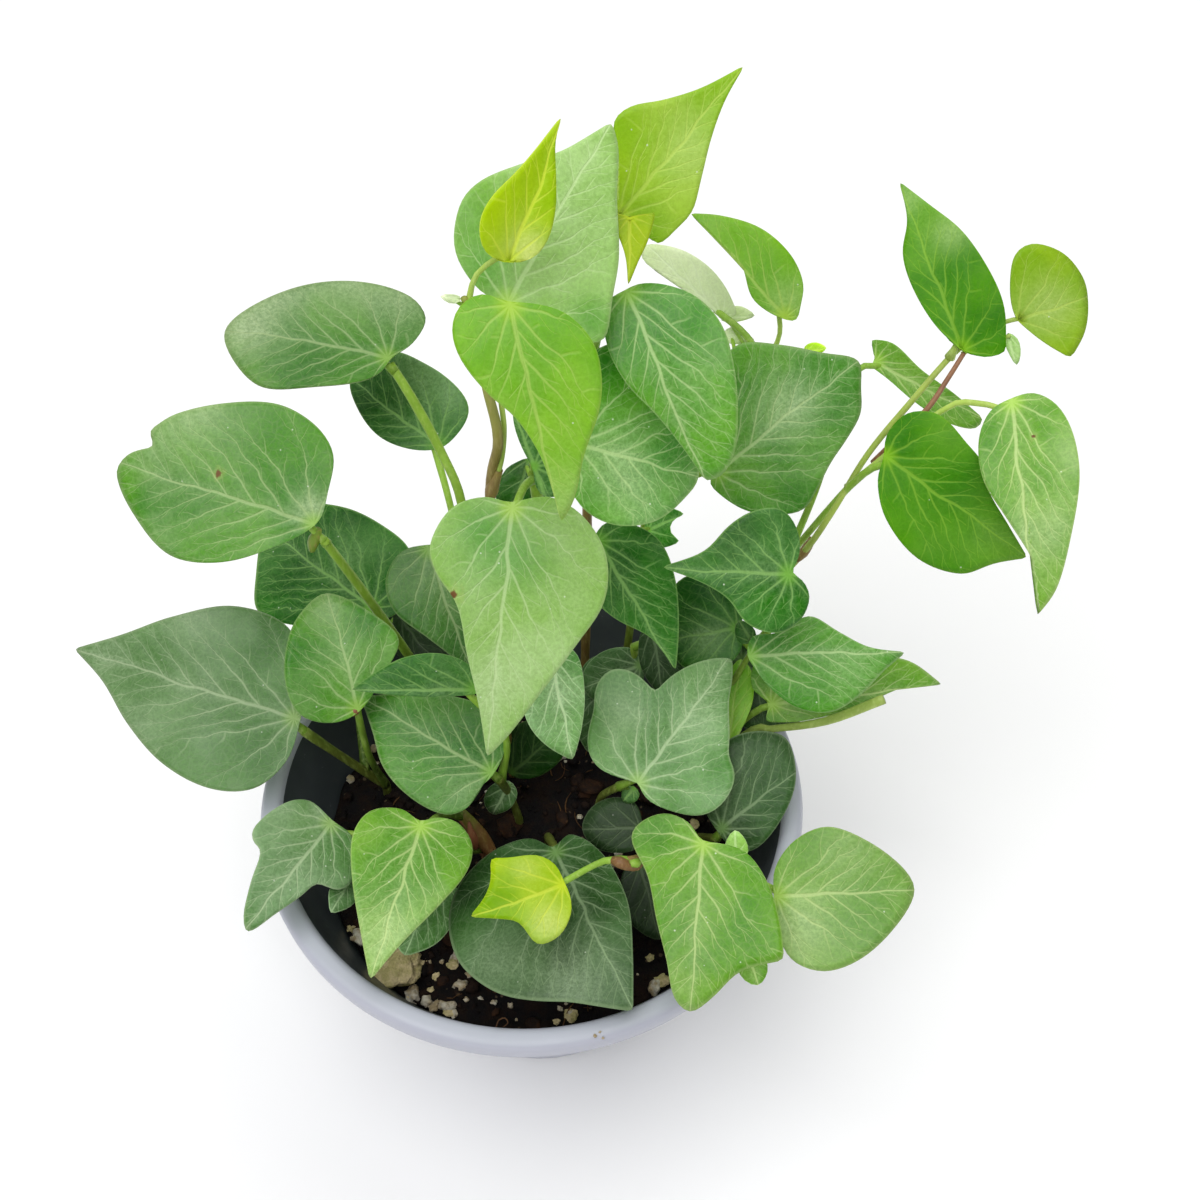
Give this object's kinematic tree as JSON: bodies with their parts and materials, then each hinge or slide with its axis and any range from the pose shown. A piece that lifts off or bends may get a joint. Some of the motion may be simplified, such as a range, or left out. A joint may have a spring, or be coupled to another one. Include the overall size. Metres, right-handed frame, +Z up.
{
  "type": "potted ivy",
  "caption": "Young ivy with heart-shaped and lobed leaves on trailing stems, in a low round tapered plastic pot filled with soil.",
  "frame": {"origin": "middle of the pot's foot, on the surface it stands on", "axes": "+Z up, -Y towards the side the picture was taken from, +X to the picture's right"},
  "size_m": [0.2172, 0.1483, 0.2182],
  "materials": {
    "pot": "satin bluish-grey moulded plastic",
    "soil": "damp dark potting mix with bark and perlite",
    "leafy_stem": "glossy to satin leaf, pale veins, green to red-brown stems"
  },
  "bodies": {
    "root": {"pot": "pot", "soil": "soil", "stem_centre": "leafy_stem", "stem_upper": "leafy_stem", "stem_back": "leafy_stem", "stem_right": "leafy_stem", "stem_east": "leafy_stem", "stem_rim": "leafy_stem", "stem_front": "leafy_stem", "stem_three": "leafy_stem", "stem_middle": "leafy_stem", "stem_shade": "leafy_stem", "stem_left_back": "leafy_stem", "stem_left_out": "leafy_stem", "stem_left_low": "leafy_stem", "stem_front_left": "leafy_stem", "stem_front_big": "leafy_stem", "stem_corner": "leafy_stem"}
  },
  "joints": []
}
